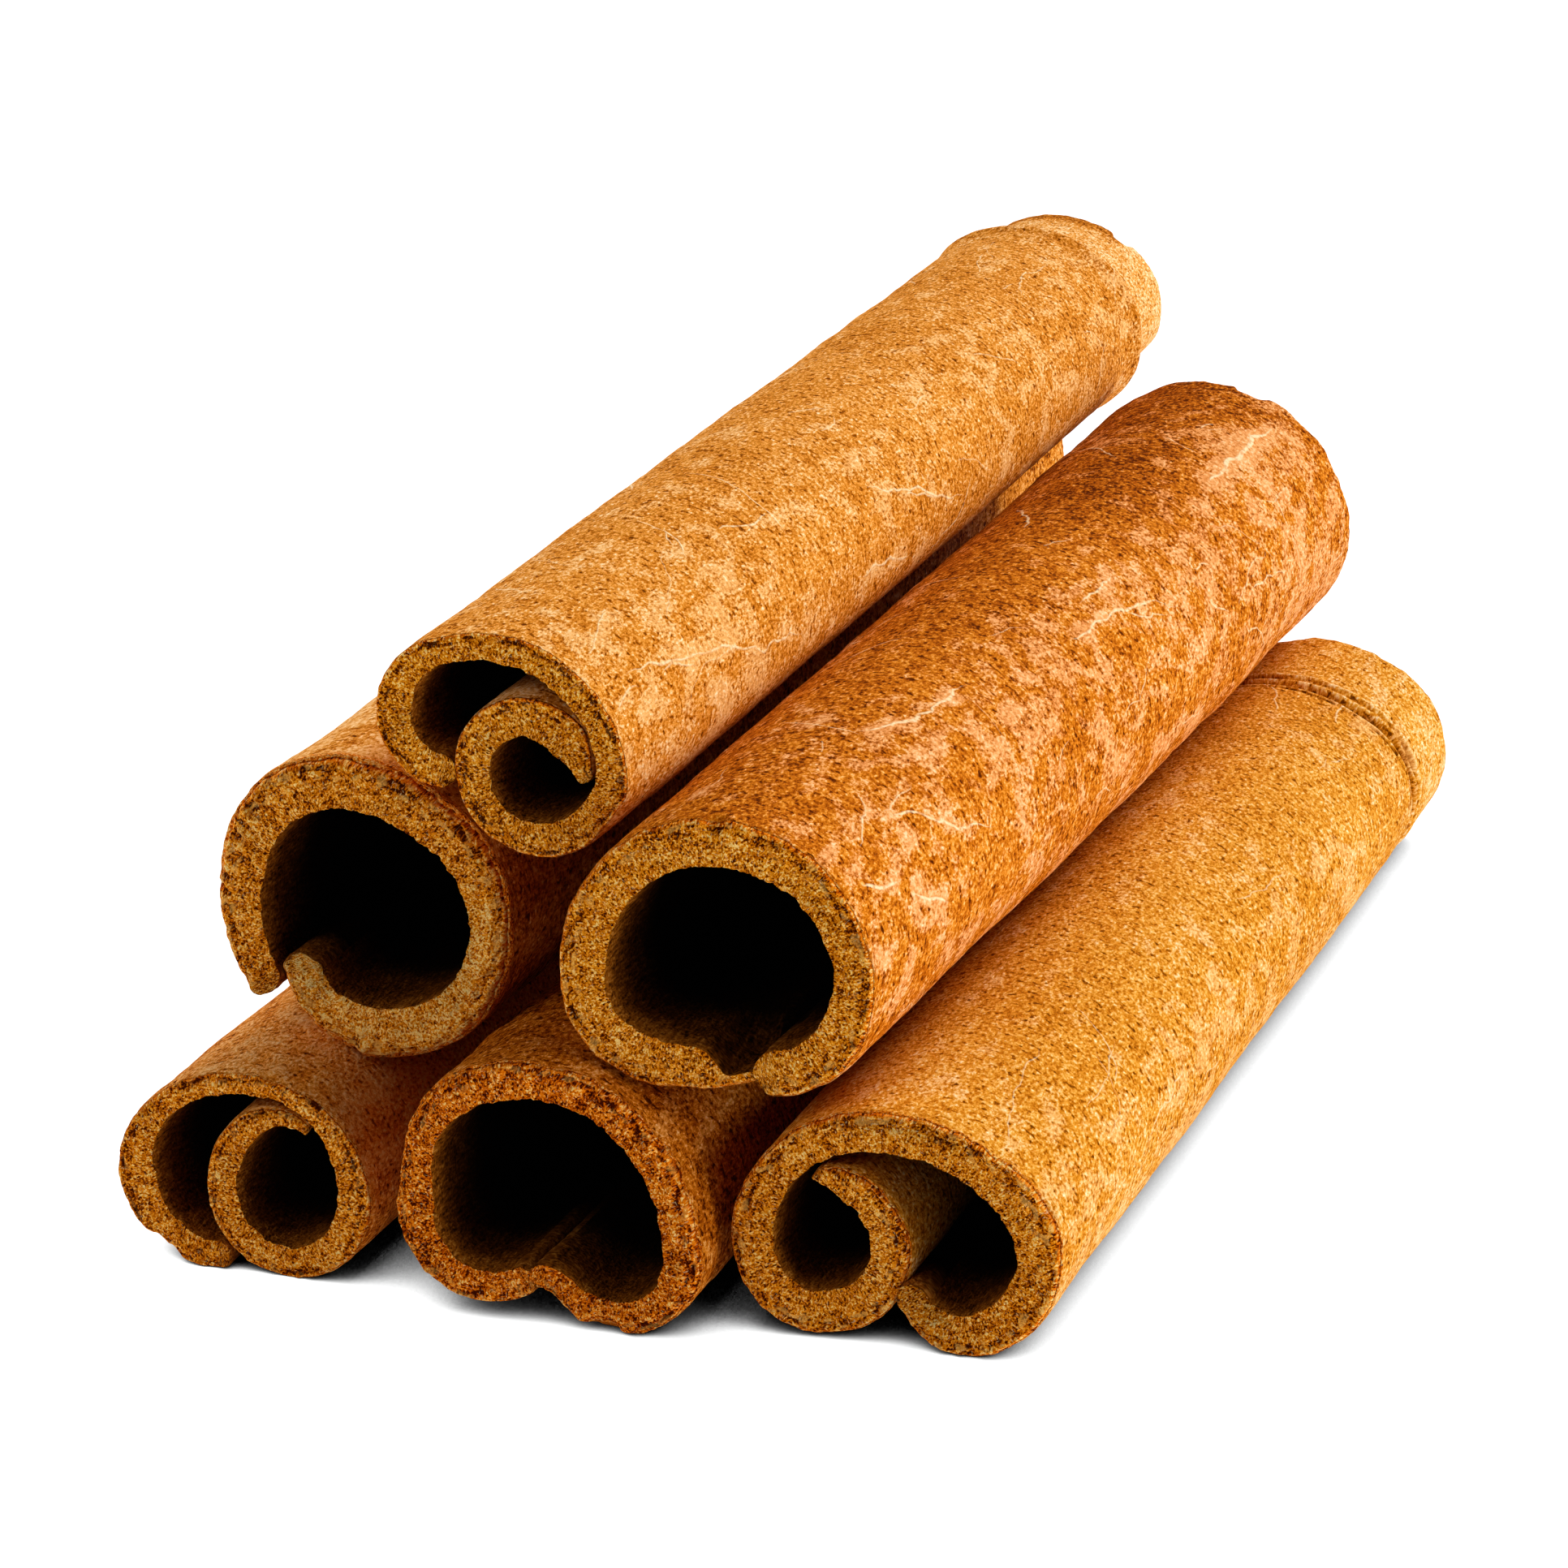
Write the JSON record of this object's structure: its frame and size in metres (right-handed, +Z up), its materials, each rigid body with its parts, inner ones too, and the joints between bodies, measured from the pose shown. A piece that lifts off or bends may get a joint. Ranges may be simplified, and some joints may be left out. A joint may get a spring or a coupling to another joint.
{
  "type": "stack of cinnamon sticks",
  "caption": "Curled quills of cassia bark, open at both cut ends, lying side by side in a small pyramid stack.",
  "frame": {"origin": "middle of the stack's bounding box, on the ground under it", "axes": "+Z up, +Y along the quills from their near cut ends to their far ends, +X to the right seen from the near ends"},
  "size_m": [0.0404, 0.0926, 0.0285],
  "materials": {
    "bark_top": "dry cassia bark, warm golden brown with pale veins",
    "bark_mid_left": "dry cassia bark, deeper brown, coarse cut ends",
    "bark_mid_right": "dry cassia bark, mottled reddish brown with pale veins",
    "bark_low_left": "dry cassia bark, reddish brown",
    "bark_low_mid": "dry cassia bark, reddish brown",
    "bark_low_right": "dry cassia bark, golden ochre with fine scratches"
  },
  "bodies": {
    "root": {"stick_top": "bark_top", "stick_mid_left": "bark_mid_left", "stick_mid_right": "bark_mid_right", "stick_low_left": "bark_low_left", "stick_low_mid": "bark_low_mid", "stick_low_right": "bark_low_right"}
  },
  "joints": []
}
